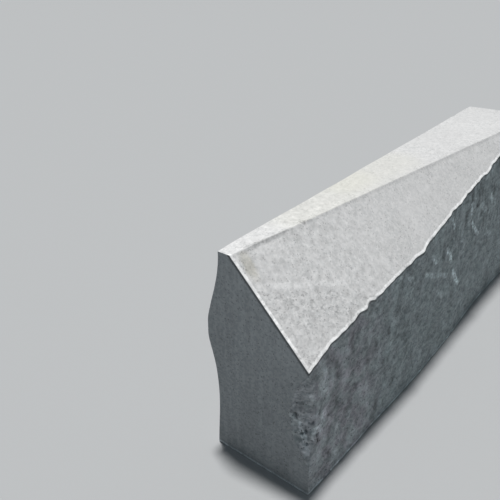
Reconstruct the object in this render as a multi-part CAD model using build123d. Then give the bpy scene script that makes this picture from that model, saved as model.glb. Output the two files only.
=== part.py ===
from build123d import *
import os
from math import sqrt

# Granite transition kerb stone, in millimetres. X runs across it from the back to the road
# face, Y along the kerb from the splayed end to the square end, and Z up. The origin is in
# the middle of the bed.

# Block: the bed, top and ends are sawn, the back and the road face are split and lean in.
# The splayed end leans in a little as well.
length = 750.0
height = 300.0
foot_width = 150.0
back_batter = 18.0
face_batter = 6.5
end_batter = 5.0

# Splay: one flat triangle from the crest and the knee at one end. It dies out in the top
# arris of the road face, just short of the square end.
crest_width = 20.0
knee_height = 189.0
runout_gap = 5.0

# Split back: a nose runs along it, with a steep underside and a long slope above. The shares
# say how much of the nose is left where its underside ends, and on the slope.
nose_height = 178.0
nose_underside = 37.0
nose_slope = 62.0
under_share = 0.33
slope_share = 0.4
hollow_height = 62.0

# How far the split sides wander from their leaning planes, at sections spaced evenly from
# the splayed end to the square end
nose_out = (15.5, 10.0, 12.0, 8.0, 10.0, 7.0, 6.0)
hollow_in = (2.5, 2.0, 0.0, 2.0, 1.0, 0.0, 1.0)
face_out = (1.0, 1.0, 4.0, 3.0, 1.0, 0.5, 0.0)
foot_out = (-1.5, 1.5, 5.0, 5.5, 0.0, -2.0, -2.0)

# Flake broken off the upright arris below the knee
flake_length = 136.0
flake_drop = 2.0
flake_on_end = 26.0
flake_on_face = 13.0

# The rough slab stands this much above the top and below the bed before it is sawn
sawing_allowance = 15.0


def back_x(z):
    return -foot_width / 2 + back_batter * z / height


def face_x(z):
    return foot_width / 2 - face_batter * z / height


def end_y(z):
    return -length / 2 + end_batter * z / height


def slab_section(station):
    # One cross-section of the rough slab, from its split back round to its split face. The
    # first one is the end that leans.
    y = length * (station / (len(nose_out) - 1) - 0.5)
    lean = end_batter if station == 0 else 0.0
    cut = Plane(origin=(0, y, 0), x_dir=(1, 0, 0), z_dir=(0, -height, lean))
    nose = nose_out[station]
    low = -sawing_allowance
    high = height + sawing_allowance
    under = nose_height - nose_underside
    over = nose_height + nose_slope
    back = Spline(
        (back_x(low), low),
        (back_x(hollow_height) + hollow_in[station], hollow_height),
        (back_x(under) - nose * under_share, under),
        (back_x(nose_height) - nose, nose_height),
        (back_x(over) - nose * slope_share, over),
        (back_x(high), high),
    )
    face = Spline(
        (face_x(high) + face_out[station], high),
        (face_x(knee_height) + face_out[station], knee_height),
        (face_x(low) + foot_out[station], low),
    )
    outline = Wire([back, Line(back @ 1, face @ 0), face, Line(face @ 1, back @ 0)])
    return cut * make_face(outline)


def sawn_block():
    # Bed and top are cut flat and level through the rough slab.
    slab = loft([slab_section(station) for station in range(len(nose_out))])
    topped = split(slab, bisect_by=Plane.XY.offset(height), keep=Keep.BOTTOM)
    return split(topped, bisect_by=Plane.XY, keep=Keep.TOP)


def splay_plane():
    crest_edge = Vector(back_x(height) + crest_width, end_y(height), height)
    knee = Vector(face_x(knee_height), end_y(knee_height), knee_height)
    runout = Vector(face_x(height), length / 2 - runout_gap, height)
    up = (knee - crest_edge).cross(runout - crest_edge)
    return Plane(origin=crest_edge, x_dir=knee - crest_edge, z_dir=up)


def flake():
    # A ball that meets the arris over flake_length. Half way up, it reaches flake_on_end
    # across the end and flake_on_face along the road face.
    half = flake_length / 2
    off_end = (half**2 - flake_on_end**2) / (2 * flake_on_end)
    off_face = (half**2 - flake_on_face**2) / (2 * flake_on_face)
    radius = sqrt(off_end**2 + off_face**2 + half**2)
    middle = knee_height - flake_drop - half
    return Pos(face_x(middle) + off_end, end_y(middle) - off_face, middle) * Sphere(radius)


kerb_stone = split(sawn_block(), bisect_by=splay_plane(), keep=Keep.BOTTOM) - flake()

os.makedirs("parts", exist_ok=True)
export_step(kerb_stone, "parts/kerb_stone.step")
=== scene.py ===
import bmesh
import bpy
import math
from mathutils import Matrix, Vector, kdtree, noise


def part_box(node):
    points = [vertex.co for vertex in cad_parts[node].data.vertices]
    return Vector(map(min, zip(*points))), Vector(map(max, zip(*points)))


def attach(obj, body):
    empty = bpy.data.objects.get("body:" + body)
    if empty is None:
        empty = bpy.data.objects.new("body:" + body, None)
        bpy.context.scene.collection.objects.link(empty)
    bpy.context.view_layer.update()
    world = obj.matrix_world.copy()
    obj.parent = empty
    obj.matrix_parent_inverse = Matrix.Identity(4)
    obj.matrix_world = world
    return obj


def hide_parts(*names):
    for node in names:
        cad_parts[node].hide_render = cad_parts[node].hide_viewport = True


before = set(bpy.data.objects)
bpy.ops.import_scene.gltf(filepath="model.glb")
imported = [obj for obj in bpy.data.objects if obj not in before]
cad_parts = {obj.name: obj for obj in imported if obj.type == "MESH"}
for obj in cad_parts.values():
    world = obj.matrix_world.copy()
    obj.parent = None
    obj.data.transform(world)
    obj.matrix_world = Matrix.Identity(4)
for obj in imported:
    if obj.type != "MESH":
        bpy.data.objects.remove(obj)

bl_info = {
    "name": "Granite kerb stone",
    "version": (1, 0, 0),
    "blender": (4, 5, 0),
    "location": "3D View > Sidebar > Kerb stone",
    "description": "Gives the packed kerb stone its split sides, worn arrises and granite",
    "category": "Object",
}

# Metres throughout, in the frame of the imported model: X runs from the back to the road face,
# Y along the kerb from the splayed end to the square end, and Z up from the bed.
STONE = "kerb_stone"
MILLIMETRE = 0.001

# The block's box, and the planes of its sides as the CAD has them: half the width of the foot,
# and how far each plane leans in from the bed to the top
LOW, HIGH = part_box(STONE)
HEIGHT = HIGH.z
HALF_LENGTH = HIGH.y
HALF_FOOT = 0.075
ROAD_LEAN = 0.0065
BACK_LEAN = 0.018
END_LEAN = 0.005

# The stone's sides, the split ones and the ends
SIDES = ("top", "bed", "splay", "near_end", "far_end", "road", "back", "flake")
SPLIT = ("road", "back", "flake")
ENDS = ("near_end", "far_end")

# How far a side's outward direction reaches along the axes, where the side is known by it
LEVEL_REACH = 0.9
END_REACH = 0.97
SPLAY_REACH = 0.4
SPLAY_ENDWARD = 0.5
FLAKE_ENDWARD = 0.7
FLAKE_ROADWARD = 0.2

# The fine grid: CAD corners this close are one, a cube is halved this many times, the stone
# takes up this share of the cube, and shorter edges than this are closed up
ONE_CORNER = 0.01 * MILLIMETRE
GRID_DEPTH = 8
GRID_SHARE = 0.95
SHORTEST = 0.9 * MILLIMETRE

# Narrower slivers than this are dissolved. Where two faces turn by more than FOLDED, one of
# them is folded over, and by more than SHARP, they aren't shaded as one.
SLIVER = 0.05 * MILLIMETRE
FOLDED = math.radians(80)
SHARP = math.radians(40)

# Where in the noise these patterns are read, so that they don't follow others
RAGGED_NOISE = 5.1
ROAD_NOISE = 3.7
BACK_NOISE = 9.2
CHIP_NOISE = Vector((7.3, 1.9, 4.1))
MICA_NOISE = (0.31, 0.17, 0.23)
PLUM_NOISE = (0.7, 0.2, 0.5)
BLOTCH_NOISE = (0.2, 0.6, 0.3)
DRIFT_NOISE = (0.4, 0.9, 0.1)

# Beside an arris lumps fade to this share over this distance, in the flake to nothing over less
LUMPS_LEFT = 0.25
LUMPS_FADE = 10 * MILLIMETRE
FLAKE_FADE = 4 * MILLIMETRE

# An arris is bitten where its noise is above these, and the bite reaches this far into the
# sides and gets shallower by this slope
NIBBLE_FROM = 0.15
CHIP_FROM = 0.4
BITE_REACH = 10 * MILLIMETRE
BITE_SLOPE = 0.7

# Four arrises, by the sides that meet in them
RIDGE = frozenset(("top", "splay"))
BACK_ARRIS = frozenset(("top", "back"))
ROAD_ARRIS = frozenset(("splay", "road"))
END_ARRIS = frozenset(("splay", "near_end"))

# How readily each arris chips, and how readily all others do
WEAKNESS = {
    RIDGE: 0.2,
    BACK_ARRIS: 0.3,
    ROAD_ARRIS: 0.15,
    END_ARRIS: 0.1,
    frozenset(("near_end", "flake")): 0.0,
    frozenset(("road", "flake")): 0.0,
    frozenset(("near_end", "back")): 0.4,
}
USUAL_WEAKNESS = 0.6

# Notches: the arris, the place along the kerb and how many times the usual length
NOTCHES = (
    *((ROAD_ARRIS, along, 1.0) for along in (-0.242, -0.222, -0.152, -0.07)),
    (RIDGE, -0.252, 1.0),
    (BACK_ARRIS, 0.298, 3.0),
)

# Bumps of the road arris, each as its place along the kerb, its half length and how far out it
# is, and how far down the road face they carry
SCALLOPS = (
    (-0.325, 0.007, -0.0009),
    (-0.262, 0.009, -0.0018),
    (-0.237, 0.006, -0.0022),
    (-0.128, 0.012, 0.001),
    (-0.103, 0.011, 0.0028),
    (0.002, 0.009, -0.0013),
    (0.056, 0.007, -0.0013),
    (0.137, 0.012, 0.0024),
)
SCALLOP_DEPTH = 0.02

# The start of the ridge, where the splay was cut a little deeper than the top
LIP_START = -0.347
LIP_END = -0.275

# Holes in and beside the flake at the near upright arris, each with its half width
HOLLOWS = (
    ((0.0509, -0.3706, 0.1164), 0.0028),
    ((0.0599, -0.3683, 0.0891), 0.0022),
    ((0.0632, -0.366, 0.0935), 0.0026),
    ((0.0706, -0.3612, 0.1074), 0.0024),
    ((0.0667, -0.3676, 0.0766), 0.0018),
    ((0.0469, -0.3723, 0.1614), 0.0018),
    ((0.0728, -0.3575, 0.0875), 0.0016),
    ((0.0728, -0.3575, 0.0815), 0.0016),
)

# A stroke is even within this share of its half width, and has faded out at the other
STROKE_CORE = 0.4
STROKE_FRINGE = 1.5

# The planes that strokes are drawn in, each by the axes that run along it
ROAD_PLANE = (1, 2)
END_PLANE = (0, 2)
TOP_PLANE = (0, 1)

# Strokes of the chisel on the road face, and painted shade in small nicks (the darker rows), each
# as its start, its end, its half width and how much lighter it is
ROAD_STROKES = (
    ((0.08, 0.226), (0.094, 0.189), 0.004, 1.0),
    ((0.094, 0.189), (0.128, 0.156), 0.004, 1.0),
    ((0.006, 0.228), (0.014, 0.211), 0.0035, 1.2),
    ((0.041, 0.203), (0.053, 0.174), 0.0055, 0.4),
    ((-0.006, 0.183), (0.012, 0.157), 0.005, 1.0),
    ((-0.065, 0.196), (-0.049, 0.18), 0.004, 0.75),
    ((0.024, 0.131), (0.058, 0.093), 0.0045, 1.2),
    ((-0.083, 0.175), (0.0, 0.136), 0.004, 0.55),
    ((-0.143, 0.203), (-0.121, 0.181), 0.0035, 0.45),
    ((0.129, 0.208), (0.16, 0.185), 0.005, 0.6),
    ((0.173, 0.211), (0.184, 0.195), 0.004, 0.75),
    ((0.174, 0.14), (0.198, 0.128), 0.0055, 0.45),
    ((-0.127, 0.17), (-0.119, 0.151), 0.0045, 0.35),
    ((-0.035, 0.124), (-0.013, 0.107), 0.0055, 0.35),
    ((-0.022, 0.178), (-0.0205, 0.173), 0.004, -0.5),
    ((-0.338, 0.167), (-0.338, 0.158), 0.0045, 0.55),
    ((-0.343, 0.151), (-0.334, 0.139), 0.0055, 0.45),
    ((-0.339, 0.11), (-0.339, 0.102), 0.0045, 0.55),
    ((-0.354, 0.095), (-0.352, 0.087), 0.004, 0.55),
    ((-0.3555, 0.093), (-0.3555, 0.0755), 0.002, -0.6),
    ((-0.349, 0.119), (-0.349, 0.112), 0.003, -0.45),
    ((-0.33, 0.1), (-0.325, 0.094), 0.003, -0.35),
    ((-0.338, 0.136), (-0.338, 0.128), 0.003, -0.35),
    ((-0.328, 0.166), (-0.328, 0.16), 0.003, -0.35),
)

# The splayed end's marks: painted highlights along the flake's edge and ridge, and a line of
# painted shade beside its edge
END_STROKES = (
    ((0.046, 0.1165), (0.056, 0.103), 0.0022, 0.45),
    ((0.056, 0.103), (0.0625, 0.087), 0.0026, 0.6),
    ((0.0625, 0.087), (0.0685, 0.0635), 0.0028, 0.6),
    ((0.049, 0.1215), (0.0535, 0.11), 0.0022, -0.35),
    ((0.072, 0.0975), (0.0725, 0.0835), 0.002, 0.5),
    ((0.0715, 0.152), (0.0715, 0.142), 0.003, 0.45),
)

# A faint light line across the splay. The splay is pitted on its far side from the top.
LIGHT_LINE = ((-0.004, -0.362), (0.043, -0.253))

# The top's and the splay's marks: painted shade in the groove at the start of the ridge and in a
# chip on it, a smudge, the light line and two faint spots
TOP_STROKES = (
    ((-0.0355, -0.345), (-0.0305, -0.3195), 0.0014, -0.25),
    ((-0.0305, -0.3195), (-0.024, -0.279), 0.001, -0.15),
    ((-0.0225, -0.2545), (-0.0195, -0.2505), 0.0024, -0.35),
    ((0.023, 0.109), (0.036, 0.13), 0.006, -0.06),
    (*LIGHT_LINE, 0.0032, 0.09),
    ((0.0445, -0.0235), (0.0455, -0.02), 0.004, -0.05),
    ((0.0515, -0.0495), (0.052, -0.046), 0.004, -0.05),
)

# The warm patch on the top
CREAM_STROKES = (
    ((-0.04, -0.235), (-0.035, 0.0), 0.045, 0.25),
    ((-0.045, -0.12), (-0.045, -0.09), 0.03, 0.2),
)

# A brown stain on the splay by the near end
STAIN_STROKES = (
    ((-0.028, -0.3545), (-0.0205, -0.3555), 0.007, 0.8),
    ((-0.0205, -0.3555), (-0.0134, -0.3575), 0.0065, 0.7),
)

# The marks of the road face start here along the kerb, and those of the near end and the
# flake stop here
ROAD_MARKS_FROM = 0.01 - HALF_LENGTH
END_MARKS_TO = 0.03 - HALF_LENGTH

# Distance between the breaks in the chisel's strokes
BROKEN_SPAN = 0.004

# Stretches along the kerb over which the look changes: the flake's end, the knee's tint, the
# pits, the far part that is plainer, the top's pale near end, and where the scores set in
FLAKE_STRETCH = (-0.365, -0.355)
KNEE_STRETCH = (-0.27, -0.17)
PITS_STRETCH = (-0.24, -0.16)
PLAIN_STRETCH = (-0.25, -0.1)
PALE_STRETCH = (-0.36, -0.12)
SCORES_STRETCH = (-0.1, 0.02)

# Heights over which it changes: up to the top, beside the ridge, the scores, and up the ends
TOP_RISE = (HEIGHT - 0.0015, HEIGHT - 0.0003)
RIDGE_RISE = (HEIGHT - 0.006, HEIGHT - 0.002)
SCORES_RISE = (0.1, 0.2)
END_RISE = (0.03, 0.27)

# How patterns are drawn out: the smaller the share along an axis, the longer they are there
MOTTLE_DRAW = (1.0, 1.0, 0.6)
SPECKLE_DRAW = (1.0, 0.55, 1.0)
SCORE_DRAW = (1.0, 1.0, 0.3)
STREAK_DRAW = (1.0, 1.0, 0.04)

# The floor's radius, so large that its rim is the horizon
FLOOR_RADIUS = 40.0


def length(name, description, default):
    """A property in metres. The other kinds that the panel shows follow it."""
    return bpy.props.FloatProperty(
        name=name, description=description, default=default, min=0.0, precision=5, unit="LENGTH"
    )


def span(name, things, default):
    return length(name, "Distance between the " + things, default)


def amount(name, description, default):
    return bpy.props.FloatProperty(
        name=name, description=description, default=default, min=0.0, precision=3
    )


def share(name, description, default):
    return bpy.props.FloatProperty(
        name=name, description=description, default=default, min=0.0, max=1.0, subtype="FACTOR"
    )


def colour(name, description, default):
    return bpy.props.FloatVectorProperty(
        name=name, description=description, default=default, min=0.0, max=1.0, subtype="COLOR"
    )


def triple(name, description, default, subtype):
    return bpy.props.FloatVectorProperty(
        name=name, description=description, default=default, subtype=subtype
    )


class KerbRelief(bpy.types.PropertyGroup):
    """Sizes of the relief on the stone's faces and arrises."""

    wander: length("Wander", "Height of the broad waves of the split sides", 0.0008)
    wander_span: span("Wander span", "broad waves", 0.055)
    ragged: length("Ragged", "How far the road arris wavers", 0.0009)
    ragged_span: span("Ragged span", "wavers of the road arris", 0.012)
    lump: length("Lumps", "Height of the lumps on the split sides", 0.0018)
    lump_span: span("Lump span", "lumps", 0.02)
    grit: length("Grit", "Height of the smallest modelled bumps", 0.0014)
    grit_span: span("Grit span", "smallest bumps", 0.009)
    crumb: length("Crumbs", "Height of the crumbly bumps in the flake", 0.0016)
    crumb_span: span("Crumb span", "crumbly bumps", 0.0045)
    settle: length("Settle", "Depth over which the wander dies out in the block", 0.022)
    bevel: length("Arris wear", "Width of the wear along every arris", 0.0005)
    nibble: length("Nibble", "Depth of the small bites along the arrises", 0.002)
    nibble_span: span("Nibble span", "small bites", 0.009)
    chip: length("Chip", "Depth of the rare larger chips", 0.008)
    chip_span: span("Chip span", "larger chips", 0.028)
    notch: length("Notch", "Depth of the notches in the road arris", 0.0012)
    notch_half: length("Notch half length", "Half of the length of a notch", 0.004)
    lip: length("Lip", "Drop from top to splay at the start of their ridge", 0.0035)
    lip_rest: length("Lip elsewhere", "The same drop along the rest of the ridge", 0.0006)
    lip_reach: length("Lip reach", "How far from the ridge the splay is back on its plane", 0.009)
    hollow: length("Hollow", "Depth of the holes by the flake", 0.004)


class GraniteLook(bpy.types.PropertyGroup):
    """Colours and grain of the granite."""

    feldspar: colour("Feldspar", "Colour of the pale crystals", (0.6, 0.603, 0.605))
    quartz: colour("Quartz", "Colour of the grey crystals", (0.47, 0.485, 0.49))
    mica: colour("Mica", "Colour of the dark flakes", (0.16, 0.165, 0.17))
    dust: colour("Dust", "Colour of stone dust on the dressed faces", (0.577, 0.577, 0.583))
    cream: colour("Cream", "Colour of the warm patch on the top", (0.6, 0.595, 0.51))
    stain: colour("Stain", "Tint of the stain on the splay", (0.87, 0.855, 0.8))
    # The sides' tint is partly the weathered tone of the ends and split sides, partly painted shade
    # and cool painted skylight
    sides: colour("Sides", "Tint of the ends and the split sides", (0.52, 0.555, 0.575))
    plum: colour("Plum", "Tint of the warmer blotches on the split sides", (1.0, 0.92, 0.96))
    moss: colour("Moss", "Tint of all of the split sides", (0.9, 1.0, 0.985))
    crystal: length("Crystal size", "Size of one crystal", 0.0026)
    quartz_share: share("Quartz share", "Share of the crystals that are grey", 0.44)
    flake: length("Mica size", "Size of one flake of mica", 0.0018)
    mica_share: share("Mica share", "Share of the flakes that are dark", 0.07)
    patch_span: span("Dust span", "patches of dust", 0.05)
    plum_span: span("Plum span", "warmer blotches", 0.022)
    drift: amount("Drift", "How much the tone drifts over the stone", 0.14)
    drift_span: span("Drift span", "drifts", 0.12)
    mottle: amount("Mottles", "Strength of the mottles of the split sides", 1.6)
    mottle_span: span("Mottle span", "mottles", 0.019)
    blotch: amount("Blotches", "Strength of the blotches of the split sides", 0.7)
    blotch_span: span("Blotch span", "blotches", 0.04)
    speckle: amount("Speckles", "Strength of the speckles of the split sides", 1.3)
    speckle_span: span("Speckle span", "speckles", 0.006)
    score: amount("Scores", "Strength of the chisel's scores on the road face", 2.0)
    score_span: span("Score span", "scores", 0.012)
    streak: amount("Streaks", "Strength of the saw's streaks on the ends", 0.35)
    streak_span: span("Streak span", "streaks", 0.006)
    tooling: amount("Tooling", "Strength of the tooling on the top and the splay", 0.8)
    tooling_span: span("Tooling span", "tool's marks", 0.0085)
    # The pits' darkness is painted shade in them
    pit_shade: amount("Pits", "How dark the pits on the splay are", 0.13)
    pit_span: span("Pit span", "pits", 0.0055)
    waver: length("Waver", "How far the edges of strokes and stains waver", 0.006)
    waver_span: length("Waver span", "Distance between their wavers", 0.00625)
    # A painted highlight along the splay's lower arrises, partly wear
    rim_highlight_and_wear: amount("Worn rim", "How light the splay is along its lower arrises", 0.5)
    # Painted light that lifts the contact shadow along the bed, partly wear
    foot_painted_light_and_wear: amount("Worn foot", "How light the sides are along the bed", 1.3)
    # Painted shade under the splay's lower arrises
    under_arris_shade: amount("Shade", "How dark the sides are under the splay's arrises", 0.6)
    # Gaps in the painted highlight and in the painted light at the foot, which are partly wear
    wear_span: span("Wear span", "gaps in the worn arrises", 0.012)
    hollow_shade: share("Hollow shade", "How dark the small holes by the flake are", 0.3)
    split_relief: length("Split relief", "Height of the split sides' finest bumps", 0.0011)
    split_span: span("Split span", "finest bumps", 0.005)
    tooled_relief: length("Tooled relief", "Height of the tooling", 0.00014)
    tooled_span: span("Tooled span", "bumps of the tooling", 0.0028)
    sawn_relief: length("Sawn relief", "Height of the saw's marks on the ends", 0.00005)
    sawn_span: span("Sawn span", "saw's marks", 0.002)
    mica_relief: length("Mica relief", "How deep the flakes of mica lie", 0.00005)
    pit_relief: length("Pit relief", "Depth of the pits", 0.00025)
    dull: share("Roughness", "Roughness of the granite", 0.86)
    gloss: share("Mica gloss", "How much less rough the mica is", 0.3)


class KerbStage(bpy.types.PropertyGroup):
    """Floor, light and camera."""

    floor: colour("Floor", "Colour of the floor", (0.375, 0.385, 0.395))
    backdrop: colour("Backdrop", "Colour beyond the floor's edge", (0.50, 0.52, 0.54))
    key: amount("Key light", "Strength of the overhead light", 3.85)
    key_tint: colour("Key tint", "Colour of the overhead light", (1.0, 0.985, 0.965))
    fill: amount("Fill light", "Strength of the light from all round", 0.17)
    fill_tint: colour("Fill tint", "Colour of the light from all round", (0.8, 0.92, 1.0))
    softness: bpy.props.FloatProperty(
        name="Softness", description="Width of the light", default=math.radians(6), subtype="ANGLE"
    )
    key_from: triple(
        "Light direction", "Direction to the overhead light", (-0.07, 0.1, 0.99), "DIRECTION"
    )
    camera_place: triple(
        "Camera place", "Where the camera stands", (0.35349, -0.78675, 0.60625), "TRANSLATION"
    )
    camera_turn: triple(
        "Camera turn",
        "How the camera is turned",
        [math.radians(degrees) for degrees in (62.1918, 2.3994, 39.5313)],
        "EULER",
    )
    lens: amount("Lens", "Focal length on a 36 mm sensor", 42.037)


def side_facing(out):
    """The name of the side that faces one way."""
    if out.z > LEVEL_REACH:
        return "top"
    if out.z < -LEVEL_REACH:
        return "bed"
    if out.z > SPLAY_REACH and out.x > SPLAY_REACH and out.y > -SPLAY_ENDWARD:
        return "splay"
    if out.y < -END_REACH:
        return "near_end"
    if out.y > END_REACH:
        return "far_end"
    if out.y < -FLAKE_ENDWARD and out.x > FLAKE_ROADWARD:
        return "flake"
    return "road" if out.x > 0 else "back"


def placed(name, data):
    """A new object in the scene."""
    made = bpy.data.objects.new(name, data)
    bpy.context.scene.collection.objects.link(made)
    return made


def fine_grid(node):
    """A closed grid of small even faces over a merged copy of the CAD stone."""
    block = bmesh.new()
    block.from_mesh(node.data)
    bmesh.ops.remove_doubles(block, verts=block.verts, dist=ONE_CORNER)
    copy = bpy.data.meshes.new("rough_block")
    block.to_mesh(copy)
    block.free()
    rough = placed("rough_block", copy)
    grid = rough.modifiers.new("grid", "REMESH")
    grid.mode = "SHARP"
    grid.octree_depth = GRID_DEPTH
    grid.scale = GRID_SHARE
    grid.use_remove_disconnected = False
    seen = rough.evaluated_get(bpy.context.evaluated_depsgraph_get())
    fine = bmesh.new()
    fine.from_mesh(bpy.data.meshes.new_from_object(seen))
    bpy.data.objects.remove(rough)
    bmesh.ops.remove_doubles(fine, verts=fine.verts, dist=SHORTEST)
    fine.normal_update()
    return fine


def road_x(z):
    """Where the road face's plane is at one height."""
    return HALF_FOOT - ROAD_LEAN * z / HEIGHT


def back_x(z):
    """Where the back's plane is at one height."""
    return -HALF_FOOT + BACK_LEAN * z / HEIGHT


def ease(value):
    """Rises smoothly from 0 to 1 while the value does."""
    value = min(max(value, 0.0), 1.0)
    return value * value * (3.0 - 2.0 * value)


def swell(distance, half):
    """A soft bump, 1 in its middle and nearly 0 from twice the half width on."""
    return math.exp(-((distance / half) ** 2))


def waves(place, span, height):
    """Soft seeded noise, as far out as in."""
    return noise.noise(place / span) * height


def on_plane(pair, plane):
    """The place of two coordinates in one of the planes, where the third axis stays at zero."""
    place = Vector()
    for axis, value in zip(plane, pair):
        place[axis] = value
    return place


def keep_in(value, low, high):
    """Eases a coordinate near the CAD box, so that no relief leaves the box."""
    give = MILLIMETRE
    if value > high - give:
        return high - give * math.exp((high - give - value) / give)
    if value < low + give:
        return low + give * math.exp((value - low - give) / give)
    return value


class Arrises:
    """The lines where the stone's sides meet, as a cloud of places to measure from."""

    def __init__(self, corners):
        self.corners = corners
        self.tree = kdtree.KDTree(len(corners))
        for index, (place, _, _) in enumerate(corners):
            self.tree.insert(place, index)
        self.tree.balance()

    def distance(self, place):
        """How far the nearest arris is."""
        return self.tree.find(place)[2]

    def nearest(self, place):
        """The outward direction and the sides of the nearest arris, and how far it is."""
        _, index, distance = self.tree.find(place)
        _, out, sides = self.corners[index]
        return out, sides, distance


class KerbShape:
    """The stone's surface while it is shaped from the CAD solid."""

    def __init__(self, node, relief):
        self.relief = relief
        self.grid = fine_grid(node)
        self.side = self.grid.faces.layers.int.new("side")
        for face in self.grid.faces:
            face[self.side] = SIDES.index(side_facing(face.normal))
        faces = [face for face in self.grid.faces if self.is_on(face, "splay")]
        if not faces:
            raise RuntimeError("the stone has no splay")
        self.middle = sum((face.calc_center_median() for face in faces), Vector()) / len(faces)
        self.out = sum((face.normal for face in faces), Vector()).normalized()

    def is_on(self, face, *sides):
        return SIDES[face[self.side]] in sides

    def sides_at(self, part):
        """The sides that a vertex or an edge touches."""
        return {SIDES[face[self.side]] for face in part.link_faces}

    def splay_height(self, x, y):
        """How high the splay's plane is at one place."""
        along = (x - self.middle.x) * self.out.x + (y - self.middle.y) * self.out.y
        return self.middle.z - along / self.out.z

    def ridge_x(self, y):
        """Where the splay reaches the top."""
        rise = (HEIGHT - self.middle.z) * self.out.z + (y - self.middle.y) * self.out.y
        return self.middle.x - rise / self.out.x

    def arrises(self):
        """Every vertex in which two or more sides meet."""
        found = []
        for vertex in self.grid.verts:
            sides = self.sides_at(vertex)
            if len(sides) > 1:
                found.append((vertex.co.copy(), vertex.normal.copy(), frozenset(sides)))
        return Arrises(found)

    def divide_flake(self):
        """Makes the faces on and round the flake smaller, for its holes."""
        near = {
            other
            for face in self.grid.faces
            if self.is_on(face, "flake")
            for edge in face.edges
            for other in edge.link_faces
        }
        edges = [edge for edge in self.grid.edges if not near.isdisjoint(edge.link_faces)]
        bmesh.ops.subdivide_edges(self.grid, edges=edges, cuts=2, use_grid_fill=True)

    def scallops(self, y):
        """The waves of the road arris where the photograph shows them."""
        return sum(out * swell(y - place, half) for place, half, out in SCALLOPS)

    def lip_drop(self, x, y):
        """How far the splay lies below its plane beside the ridge."""
        relief = self.relief
        beyond = x - self.ridge_x(y)
        if beyond <= 0.0:
            return 0.0
        fade = 8 * MILLIMETRE
        edge = 0.5 * MILLIMETRE
        marked = ease((y - LIP_START) / fade) * ease((LIP_END - y) / (3 * fade))
        ragged = 0.9 + waves(Vector((y, 0.0, 0.0)), relief.grit_span, 0.5)
        drop = (relief.lip_rest + (relief.lip - relief.lip_rest) * marked) * ragged
        return drop * (1.0 - math.exp(-beyond / edge)) * math.exp(-beyond / relief.lip_reach)

    def side_shift(self, x, y, z, below_arris):
        """How far a place by one of the split sides moves across the kerb."""
        relief = self.relief
        by_road = ease(1.0 - (road_x(z) - x) / relief.settle)
        by_back = ease(1.0 - (x - back_x(z)) / relief.settle)
        scallop = self.scallops(y)
        scallop += waves(Vector((RAGGED_NOISE, y, 0.0)), relief.ragged_span, relief.ragged)
        scallop *= swell(below_arris, SCALLOP_DEPTH)
        road_wave = waves(Vector((ROAD_NOISE, y, z)), relief.wander_span, relief.wander)
        back_wave = waves(Vector((BACK_NOISE, y, z)), relief.wander_span, relief.wander)
        return by_road * (road_wave + scallop) - by_back * back_wave

    def shape_sides(self):
        """Waves the split sides across the kerb, and keeps the sawn faces on their planes."""
        for vertex in self.grid.verts:
            x, y, z = vertex.co
            sides = self.sides_at(vertex)
            below_arris = max(0.0, self.splay_height(road_x(z), y) - z)
            out = self.side_shift(x, y, z, below_arris)
            vertex.co.x = x + out
            if "splay" in sides and "top" not in sides:
                height = min(self.splay_height(x + out, y), HEIGHT)
                vertex.co.z = height - self.lip_drop(x + out, y)
            elif "road" in sides:
                sunk = self.splay_height(x + out, y) - self.splay_height(x, y)
                vertex.co.z += sunk * (1.0 - ease(below_arris / SCALLOP_DEPTH))

    def roughen(self):
        """Gives the split sides and the flake their lumps and grit, less beside an arris."""
        relief = self.relief
        arrises = self.arrises()
        for vertex in self.grid.verts:
            sides = self.sides_at(vertex)
            if not sides <= set(SPLIT):
                continue
            place = vertex.co.copy()
            distance = arrises.distance(place)
            inside = LUMPS_LEFT + (1.0 - LUMPS_LEFT) * ease(distance / LUMPS_FADE)
            rise = waves(place, relief.lump_span, relief.lump)
            rise += waves(place, relief.grit_span, relief.grit)
            if "flake" in sides:
                inside = ease(distance / FLAKE_FADE)
                rise += waves(place, relief.crumb_span, relief.crumb)
            vertex.co += vertex.normal * rise * inside

    def bite(self, place, sides):
        """How deep an arris is broken at one place."""
        relief = self.relief
        nibble = noise.noise(place / relief.nibble_span)
        chip = noise.noise(place / relief.chip_span + CHIP_NOISE)
        depth = max(0.0, nibble - NIBBLE_FROM) * relief.nibble
        depth += max(0.0, chip - CHIP_FROM) * relief.chip
        depth *= WEAKNESS.get(sides, USUAL_WEAKNESS)
        for arris, along, longer in NOTCHES:
            if arris <= sides:
                depth += relief.notch * swell(place.y - along, longer * relief.notch_half)
        return depth

    def wear_arrises(self):
        """Bevels every sawn arris, then bites chips out of the arrises."""
        self.grid.normal_update()
        arrises = self.arrises()
        edges = []
        for edge in self.grid.edges:
            sides = self.sides_at(edge)
            if len(sides) == 2 and "flake" not in sides:
                edges.append(edge)
        bmesh.ops.bevel(
            self.grid, geom=edges, affect="EDGES", offset=self.relief.bevel, offset_type="OFFSET",
            segments=2, profile=0.5, clamp_overlap=False, material=-1,
        )
        for vertex in self.grid.verts:
            out, sides, distance = arrises.nearest(vertex.co)
            if distance < BITE_REACH:
                depth = self.bite(vertex.co, sides)
                vertex.co -= out * max(0.0, depth - BITE_SLOPE * distance)
        bmesh.ops.dissolve_degenerate(self.grid, dist=SLIVER, edges=self.grid.edges)

    def sink_hollows(self):
        """Sinks the small holes by the flake, and marks how deep each vertex went."""
        relief = self.relief
        hollow = self.grid.verts.layers.float.new("hollow")
        self.grid.normal_update()
        for vertex in self.grid.verts:
            for place, half in HOLLOWS:
                apart = (vertex.co - Vector(place)).length
                if apart < 3 * half:
                    vertex[hollow] += swell(apart, half)
        for vertex in self.grid.verts:
            if vertex[hollow] > 0.0:
                vertex.co -= vertex.normal * relief.hollow * vertex[hollow]

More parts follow.
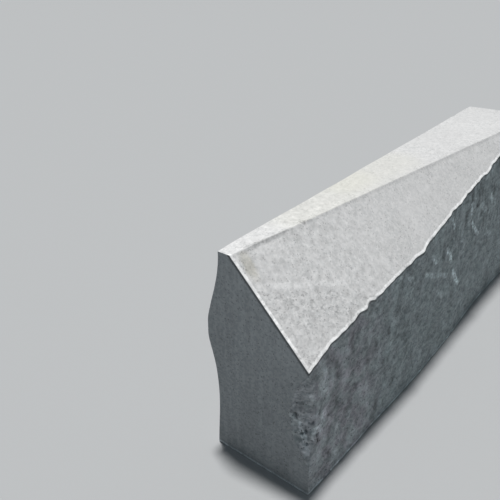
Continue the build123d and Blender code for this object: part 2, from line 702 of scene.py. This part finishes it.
    def settle_folds(self):
        """Smooths the few places where the bevel or a hole has folded a face over."""
        rounds = 8
        for _ in range(rounds):
            self.grid.normal_update()
            folded = {edge for edge in self.grid.edges if edge.calc_face_angle(0.0) > FOLDED}
            if not folded:
                return
            around = [
                vertex
                for vertex in self.grid.verts
                if not folded.isdisjoint(vertex.link_edges)
            ]
            bmesh.ops.smooth_vert(
                self.grid, verts=around, factor=0.5,
                use_axis_x=True, use_axis_y=True, use_axis_z=True,
            )

    def mark_faces(self):
        """Writes what the granite reads: how split and how end-sawn each place is, and how many
        millimetres it is from the splay's lower arrises and from the bed's."""
        grid = self.grid
        new_layer = grid.verts.layers.float.new
        split, sawn_end, rim, foot = map(new_layer, ("split", "sawn_end", "rim", "foot"))
        corners = self.arrises().corners
        lower = (ROAD_ARRIS, END_ARRIS)
        rims = Arrises([corner for corner in corners if any(arris <= corner[2] for arris in lower)])
        feet = Arrises([corner for corner in corners if "bed" in corner[2]])
        for vertex in grid.verts:
            faces = vertex.link_faces
            vertex[split] = sum(self.is_on(face, *SPLIT) for face in faces) / len(faces)
            vertex[sawn_end] = sum(self.is_on(face, *ENDS) for face in faces) / len(faces)
            vertex[rim] = rims.distance(vertex.co) / MILLIMETRE
            vertex[foot] = feet.distance(vertex.co) / MILLIMETRE
        for face in grid.faces:
            face.smooth = True
        for edge in grid.edges:
            edge.smooth = edge.calc_face_angle(0.0) < SHARP
        grid.faces.layers.int.remove(self.side)

    def finished_mesh(self):
        """The shaped grid as a mesh, held inside the CAD box."""
        for vertex in self.grid.verts:
            x, y, z = vertex.co
            near_end = END_LEAN * z / HEIGHT - HALF_LENGTH
            x = keep_in(x, LOW.x, HIGH.x)
            y = min(max(y, near_end), HALF_LENGTH)
            vertex.co = (x, y, min(max(z, LOW.z), HEIGHT))
        self.grid.normal_update()
        self.mark_faces()
        mesh = bpy.data.meshes.new("dressed_stone")
        self.grid.to_mesh(mesh)
        self.grid.free()
        return mesh


class Level:
    """A number that changes over the stone's surface. Sums on it add Math nodes."""

    def __init__(self, tree, socket):
        self.tree = tree
        self.socket = socket

    def sum_of(self, operation, first, second):
        made = self.tree.nodes.new("ShaderNodeMath")
        made.operation = operation
        for socket, value in zip(made.inputs, (first, second)):
            if isinstance(value, Level):
                self.tree.links.new(value.socket, socket)
            else:
                socket.default_value = value
        return Level(self.tree, made.outputs["Value"])

    def __add__(self, other):
        return self.sum_of("ADD", self, other)

    def __radd__(self, other):
        return self.sum_of("ADD", other, self)

    def __sub__(self, other):
        return self.sum_of("SUBTRACT", self, other)

    def __rsub__(self, other):
        return self.sum_of("SUBTRACT", other, self)

    def __mul__(self, other):
        return self.sum_of("MULTIPLY", self, other)

    def __rmul__(self, other):
        return self.sum_of("MULTIPLY", other, self)

    def __gt__(self, other):
        return self.sum_of("GREATER_THAN", self, other)


class Finish:
    """The nodes of a material or of the world, and the few ways in which they are made."""

    def __init__(self, owner):
        owner.use_nodes = True
        self.tree = owner.node_tree
        self.tree.nodes.clear()

    def node(self, kind, settings=None, sockets=None):
        """A node of one type. Its settings are set before its sockets are filled."""
        made = self.tree.nodes.new(kind)
        for name, value in (settings or {}).items():
            setattr(made, name, value)
        for name, value in (sockets or {}).items():
            socket = next(s for s in made.inputs if name in (s.identifier, s.name))
            if isinstance(value, Level):
                self.tree.links.new(value.socket, socket)
            elif isinstance(value, bpy.types.NodeSocket):
                self.tree.links.new(value, socket)
            else:
                socket.default_value = value
        return made

    def level(self, kind, output, settings=None, sockets=None):
        """A node's output as a level."""
        return Level(self.tree, self.node(kind, settings, sockets).outputs[output])

    def vector(self, operation, first, second):
        """One vector from two."""
        sockets = {"Vector": first, "Vector_001": second}
        made = self.node("ShaderNodeVectorMath", {"operation": operation}, sockets)
        return made.outputs["Vector"]

    def scaled(self, vector, level):
        """A vector or colour made longer or lighter by a level."""
        sockets = {"Vector": vector, "Scale": level}
        return self.node("ShaderNodeVectorMath", {"operation": "SCALE"}, sockets).outputs["Vector"]

    def reach(self, operation, first, second):
        """One number from two vectors."""
        sockets = {"Vector": first, "Vector_001": second}
        return self.level("ShaderNodeVectorMath", "Value", {"operation": operation}, sockets)

    def mark(self, name):
        """A level that the mesh carries at its vertices."""
        return self.level("ShaderNodeAttribute", "Fac", {"attribute_name": name})

    def clouds(self, place, span, detail=2.0, roughness=0.5):
        """Soft noise from 0 to 1, with its blotches about span apart."""
        sockets = {"Vector": place, "Scale": 1 / span, "Detail": detail, "Roughness": roughness}
        return self.level("ShaderNodeTexNoise", "Fac", {}, sockets)

    def grains(self, place, size):
        """Cells of about one size: two random numbers for each, and how far its middle is."""
        sockets = {"Vector": place, "Scale": 1 / size}
        cells = self.node("ShaderNodeTexVoronoi", {}, sockets).outputs
        split = self.node("ShaderNodeSeparateColor", {}, {"Color": cells["Color"]}).outputs
        found = (split["Red"], split["Green"], cells["Distance"])
        return [Level(self.tree, socket) for socket in found]

    def step(self, level, low, high, start=0.0, end=1.0):
        """Rises smoothly from start to end while the level goes from low to high."""
        sockets = {"Value": level, "From Min": low, "From Max": high, "To Min": start}
        sockets["To Max"] = end
        smooth = {"interpolation_type": "SMOOTHSTEP"}
        return self.level("ShaderNodeMapRange", "Result", smooth, sockets)

    def blend(self, factor, first, second, kind="MIX"):
        """A colour between two colours, or one tinted by the other."""
        settings = {"data_type": "RGBA", "blend_type": kind}
        sockets = {"Factor_Float": factor, "A_Color": first, "B_Color": second}
        made = self.node("ShaderNodeMix", settings, sockets)
        return next(s for s in made.outputs if s.identifier == "Result_Color")

    def strokes(self, place, plane, rows):
        """Straight strokes drawn in one plane, as how much lighter each makes the place."""
        flat = self.vector("MULTIPLY", place, on_plane((1.0, 1.0), plane))
        total = 0.0
        for start, end, half, lighter in rows:
            start = on_plane(start, plane)
            run = on_plane(end, plane) - start
            away = self.vector("SUBTRACT", flat, start)
            along = self.reach("DOT_PRODUCT", away, run / run.length_squared)
            along = self.level("ShaderNodeClamp", "Result", {}, {"Value": along})
            gap = self.reach("DISTANCE", away, self.scaled(run, along))
            total += self.step(gap, STROKE_CORE * half, STROKE_FRINGE * half, lighter, 0.0)
        return total


class Granite(Finish):
    """Grey granite: crystals and mica, dusty where dressed, dark and mottled where split."""

    def __init__(self, material, look):
        super().__init__(material)
        self.look = look
        self.place = self.node("ShaderNodeTexCoord").outputs["Object"]
        axes = self.node("ShaderNodeSeparateXYZ", {}, {"Vector": self.place}).outputs
        self.across, self.along, self.up = (Level(self.tree, axes[axis]) for axis in "XYZ")
        self.split = self.mark("split")
        self.sawn_end = self.mark("sawn_end")
        self.dressed = 1 - self.split - self.sawn_end
        self.top = self.dressed * self.step(self.up, *TOP_RISE)
        self.splay = self.dressed - self.top
        self.front = self.across > 0.0
        self.by_knee = self.step(self.along, *KNEE_STRETCH, 1.0, 0.25)
        self.in_flake = self.step(self.along, *FLAKE_STRETCH, 1.0, 0.0)
        self.plainer = self.step(self.along, *PLAIN_STRETCH)
        self.patches = self.clouds(self.place, look.patch_span, 3.0)
        self.tall = self.vector("MULTIPLY", self.place, MOTTLE_DRAW)
        self.mottle = self.clouds(self.tall, look.mottle_span) - 0.5
        self.pits = self.pitted()

    def shifted(self, way):
        """Another part of the same pattern, so that two patterns don't follow each other."""
        return self.vector("ADD", self.place, way)

    def warped(self, span, detail, reach):
        """A place that wavers, for crystals and strokes with irregular edges."""
        sockets = {"Vector": self.place, "Scale": 1 / span, "Detail": detail}
        ripple = self.node("ShaderNodeTexNoise", {}, sockets).outputs["Color"]
        way = self.vector("SUBTRACT", ripple, (0.5, 0.5, 0.5))
        return self.vector("ADD", self.place, self.scaled(way, reach))

    def crystals(self):
        """The colour of the crystals, a number for each of them, and where the mica is."""
        look = self.look
        bent = self.warped(look.crystal, 1.0, 0.8 * look.crystal)
        number, tone, _ = self.grains(bent, look.crystal)
        quartz = self.step(number, 0.94 - look.quartz_share, 1.06 - look.quartz_share)
        body = self.blend(quartz, rgba(look.feldspar), rgba(look.quartz))
        elsewhere = self.vector("ADD", bent, MICA_NOISE)
        number, _, middle = self.grains(elsewhere, look.flake)
        mica = (number > 1 - look.mica_share) * self.step(middle, 0.42, 0.62, 1.0, 0.0)
        return self.blend(mica, body, rgba(look.mica)), tone, mica

    def dusted(self, body):
        """Stone dust hides some of the grain on the dressed faces, and less on the ends."""
        dust = self.dressed * self.step(self.patches, 0.3, 0.7, 0.5, 0.7) + self.sawn_end * 0.3
        return self.blend(dust, body, rgba(self.look.dust))

    def tinted(self, body):
        """The ends and the split sides are darker and cooler, partly their own weathered tone and
        partly painted shade with a cool painted skylight, with blotches of two tints.
        """
        look = self.look
        blotches = self.step(self.clouds(self.shifted(PLUM_NOISE), look.plum_span), 0.42, 0.6)
        plum = self.split * (self.by_knee - self.in_flake * 0.6) * blotches
        moss = self.split * (0.8 - self.by_knee * 0.65)
        # Painted shade and cool painted skylight, together with the sides' own weathered tone
        body = self.blend(self.split + self.sawn_end, body, rgba(look.sides), "MULTIPLY")
        body = self.blend(plum, body, rgba(look.plum), "MULTIPLY")
        return self.blend(moss, body, rgba(look.moss), "MULTIPLY")

    def stained(self, body, drawn):
        """The warm patch on the top and the stain on the splay."""
        cream = self.top * self.strokes(drawn, TOP_PLANE, CREAM_STROKES)
        stain = self.splay * self.strokes(drawn, TOP_PLANE, STAIN_STROKES)
        body = self.blend(cream, body, rgba(self.look.cream))
        return self.blend(stain, body, rgba(self.look.stain), "MULTIPLY")

    def marks(self, drawn):
        """How much lighter the chisel's strokes and the other marks make each side, painted
        highlights and painted shade among them.
        """
        on_road = self.split * self.front * (self.along > ROAD_MARKS_FROM)
        on_end = (1 - self.dressed) * (1 - (self.along > END_MARKS_TO))
        broken = self.step(self.clouds(self.place, BROKEN_SPAN, 3.0), 0.35, 0.65, 0.45, 1.45)
        road = on_road * broken * self.strokes(drawn, ROAD_PLANE, ROAD_STROKES)
        end = on_end * self.strokes(drawn, END_PLANE, END_STROKES)
        return road + end + self.dressed * self.strokes(drawn, TOP_PLANE, TOP_STROKES)

    def pitted(self):
        """Small pits on the splay, past the light line and fewer beyond the knee."""
        start, end = (on_plane(corner, TOP_PLANE) for corner in LIGHT_LINE)
        across = (end - start).cross(Vector((0.0, 0.0, 1.0))).normalized()
        away = self.vector("SUBTRACT", self.place, start)
        past_line = self.step(self.reach("DOT_PRODUCT", away, across), 0.0, 0.01)
        here = self.splay * past_line * self.step(self.along, *PITS_STRETCH, 1.0, 0.3)
        return here * self.step(self.clouds(self.place, self.look.pit_span), 0.5, 0.66)

    def scores(self):
        """Fine upright scores of the chisel, under the arris on the far part of the road face."""
        upright = self.vector("MULTIPLY", self.place, SCORE_DRAW)
        scores = self.clouds(upright, self.look.score_span, 2.0, 0.4) - 0.5
        far = self.step(self.along, *SCORES_STRETCH)
        here = self.front * far * self.step(self.up, *SCORES_RISE)
        return scores * here * self.look.score

    def split_tone(self):
        """Mottles, blotches and speckles of the split sides, fainter at the back."""
        look = self.look
        blotch = self.clouds(self.vector("ADD", self.tall, BLOTCH_NOISE), look.blotch_span)
        drawn_out = self.vector("MULTIPLY", self.place, SPECKLE_DRAW)
        speckle = self.clouds(drawn_out, look.speckle_span)
        tone = self.mottle * (look.mottle - (self.plainer + self.in_flake) * 0.9)
        tone += (blotch - 0.5) * look.blotch
        tone += (speckle - 0.5) * look.speckle
        tone = tone * (0.65 + self.front * 0.35) + self.scores()
        return self.split * tone

    def end_tone(self):
        """Upright streaks of the saw on the ends."""
        upright = self.vector("MULTIPLY", self.place, STREAK_DRAW)
        streaks = self.clouds(upright, self.look.streak_span)
        return self.sawn_end * ((streaks - 0.5) * self.look.streak + self.mottle * 0.3)

    def dressed_tone(self):
        """Fine tooling on the top and the splay, plainer towards the far end, with painted shade in
        the splay's pits and just below the ridge.
        """
        look = self.look
        tooling = (self.clouds(self.place, look.tooling_span, 3.0, 0.6) - 0.5) * look.tooling
        tooling = tooling * (self.splay + self.top * 0.875) * (1.0 - self.plainer * 0.6)
        # Painted shade on the splay just below the ridge
        ridge_shade = self.step(self.up, *RIDGE_RISE, 0.0, 0.1)
        splay = self.splay * ((self.patches - 0.5) * 0.2 - ridge_shade)
        top = self.top * self.step(self.along, *PALE_STRETCH, 0.06, -0.035)
        # The pits are painted shade
        return tooling + splay + top - self.pits * look.pit_shade

    def wear(self):
        """A painted highlight along the splay's lower arrises and painted light along the foot,
        both partly wear, and painted shade under the splay's lower arrises.
        """
        look = self.look
        rim = self.mark("rim")
        rough = 1 - self.dressed
        uneven = self.step(self.clouds(self.place, look.wear_span), 0.3, 0.7, 0.6, 1.3)
        # Painted highlight on the splay along its lower arrises, partly wear
        light = self.dressed * self.step(rim, 2.6, 5.0, look.rim_highlight_and_wear, 0.0)
        # Painted light along the foot against the contact shadow, partly wear
        light = light + rough * self.step(self.mark("foot"), 1.5, 5.0, look.foot_painted_light_and_wear, 0.0)
        # Painted shade on the ends and split sides under the splay's lower arrises
        return light * uneven - rough * self.step(rim, 1.8, 5.0, look.under_arris_shade, 0.0)

    def light(self, tone, drawn):
        """How light each place is, with every pattern and mark on it, the arrises' wear and painted
        highlights, and the painted light and shade.
        """
        look = self.look
        drift = self.clouds(self.shifted(DRIFT_NOISE), look.drift_span, 3.0)
        light = 0.92 + look.drift * drift + 0.05 * (tone - 0.5)
        light = light + self.split_tone() + self.end_tone() + self.dressed_tone()
        light = light * (1 + self.wear()) * (1 + self.marks(drawn))
        light = light * (1 - self.mark("hollow") * look.hollow_shade)
        light = light * (1 + self.split * (0.1 + 0.06 * self.by_knee))
        # The ends get painted shade towards the bed and painted light towards the top
        return light * (1 + self.sawn_end * self.step(self.up, *END_RISE, -0.08, 0.12))

    def relief(self, mica):
        """Relief too fine for the mesh, as a change of the surface's normal."""
        look = self.look
        split = self.split * self.clouds(self.place, look.split_span, 4.0, 0.6) * look.split_relief
        tooled = self.dressed * self.clouds(self.place, look.tooled_span) * look.tooled_relief
        sawn = self.sawn_end * self.clouds(self.place, look.sawn_span, 1.0) * look.sawn_relief
        sunk = mica * look.mica_relief + self.pits * look.pit_relief
        sockets = {"Height": split + tooled + sawn - sunk, "Distance": 1.0, "Strength": 1.0}
        return self.node("ShaderNodeBump", {}, sockets).outputs["Normal"]

    def surface(self):
        """The granite's surface, from its colour, its roughness and its relief."""
        drawn = self.warped(self.look.waver_span, 2.0, self.look.waver)
        crystals, tone, mica = self.crystals()
        colour = self.stained(self.tinted(self.dusted(crystals)), drawn)
        sockets = {
            "Base Color": self.scaled(colour, self.light(tone, drawn)),
            "Roughness": self.look.dull - mica * self.look.gloss,
            "Normal": self.relief(mica),
        }
        return self.node("ShaderNodeBsdfPrincipled", {}, sockets).outputs["BSDF"]


def rgba(tint):
    return (*tint, 1.0)


def granite(look):
    """The material of the whole stone."""
    material = bpy.data.materials.new("granite")
    make = Granite(material, look)
    make.node("ShaderNodeOutputMaterial", {}, {"Surface": make.surface()})
    return material


def plain(name, tint):
    """A dull finish in one colour, for the floor."""
    material = bpy.data.materials.new(name)
    make = Finish(material)
    sockets = {"Base Color": rgba(tint), "Roughness": 0.9}
    surface = make.node("ShaderNodeBsdfPrincipled", {}, sockets).outputs["BSDF"]
    make.node("ShaderNodeOutputMaterial", {}, {"Surface": surface})
    return material


class DressedStone(bpy.types.Operator):
    """Makes the dressed stone over the CAD stone."""

    bl_idname = "kerb.dressed_stone"
    bl_label = "Dressed stone"

    def execute(self, context):
        shape = KerbShape(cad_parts[STONE], context.scene.kerb_relief)
        shape.divide_flake()
        shape.shape_sides()
        shape.roughen()
        shape.wear_arrises()
        shape.sink_hollows()
        shape.settle_folds()
        mesh = shape.finished_mesh()
        mesh.materials.append(granite(context.scene.granite_look))
        stone = placed("dressed_stone", mesh)
        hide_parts(STONE)
        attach(stone, "root")
        return {"FINISHED"}


class KerbStageSet(bpy.types.Operator):
    """Makes the floor, the backdrop, the lights and the camera."""

    bl_idname = "kerb.stage"
    bl_label = "Floor, light and camera"

    def execute(self, context):
        stage = context.scene.kerb_stage
        self.floor(stage)
        self.light(context, stage)
        self.camera(context, stage)
        return {"FINISHED"}

    def floor(self, stage):
        """A round floor under the bed."""
        sheet = bmesh.new()
        bmesh.ops.create_circle(sheet, cap_ends=True, segments=64, radius=FLOOR_RADIUS)
        mesh = bpy.data.meshes.new("floor")
        sheet.to_mesh(mesh)
        sheet.free()
        mesh.materials.append(plain("floor", stage.floor))
        floor = placed("floor", mesh)

    def light(self, context, stage):
        """A soft overhead light, a weak fill from all round and the backdrop."""
        sun = bpy.data.lights.new("overhead", "SUN")
        sun.energy = stage.key
        sun.color = stage.key_tint
        sun.angle = stage.softness
        lamp = placed("overhead", sun)
        lamp.rotation_euler = Vector(stage.key_from).to_track_quat("Z", "Y").to_euler()
        world = bpy.data.worlds.new("studio")
        make = Finish(world)
        lit = {"Color": rgba(stage.fill_tint), "Strength": stage.fill}
        shown = {"Color": rgba(stage.backdrop), "Strength": 1.0}
        fill = make.node("ShaderNodeBackground", {}, lit).outputs["Background"]
        backdrop = make.node("ShaderNodeBackground", {}, shown).outputs["Background"]
        seen = make.level("ShaderNodeLightPath", "Is Camera Ray")
        sockets = {"Fac": seen, "Shader": fill, "Shader_001": backdrop}
        sky = make.node("ShaderNodeMixShader", {}, sockets).outputs["Shader"]
        make.node("ShaderNodeOutputWorld", {}, {"Surface": sky})
        context.scene.world = world
        context.scene.view_settings.view_transform = "Standard"

    def camera(self, context, stage):
        """The camera, standing where the photograph was taken from."""
        lens = bpy.data.cameras.new("camera")
        lens.sensor_width = 36.0
        lens.lens = stage.lens
        lens.clip_start = 0.01
        lens.clip_end = 200.0
        camera = placed("camera", lens)
        camera.location = stage.camera_place
        camera.rotation_euler = stage.camera_turn
        context.scene.camera = camera


class KerbPanel(bpy.types.Panel):
    """Lists the sizes, the colours and the two steps."""

    bl_idname = "VIEW3D_PT_kerb_stone"
    bl_label = "Granite kerb stone"
    bl_space_type = "VIEW_3D"
    bl_region_type = "UI"
    bl_category = "Kerb stone"

    def draw(self, context):
        scene = context.scene
        for title, group, operator in (
            ("Relief", scene.kerb_relief, None),
            ("Granite", scene.granite_look, DressedStone.bl_idname),
            ("Stage", scene.kerb_stage, KerbStageSet.bl_idname),
        ):
            box = self.layout.box()
            box.label(text=title)
            for name in group.__annotations__:
                box.prop(group, name)
            if operator:
                box.operator(operator)


CLASSES = (KerbRelief, GraniteLook, KerbStage, DressedStone, KerbStageSet, KerbPanel)


def register():
    for cls in CLASSES:
        bpy.utils.register_class(cls)
    bpy.types.Scene.kerb_relief = bpy.props.PointerProperty(type=KerbRelief)
    bpy.types.Scene.granite_look = bpy.props.PointerProperty(type=GraniteLook)
    bpy.types.Scene.kerb_stage = bpy.props.PointerProperty(type=KerbStage)


def unregister():
    del bpy.types.Scene.kerb_stage
    del bpy.types.Scene.granite_look
    del bpy.types.Scene.kerb_relief
    for cls in reversed(CLASSES):
        bpy.utils.unregister_class(cls)


def main():
    register()
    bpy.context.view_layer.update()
    bpy.ops.kerb.dressed_stone()
    bpy.ops.kerb.stage()


if __name__ == "__main__":
    main()
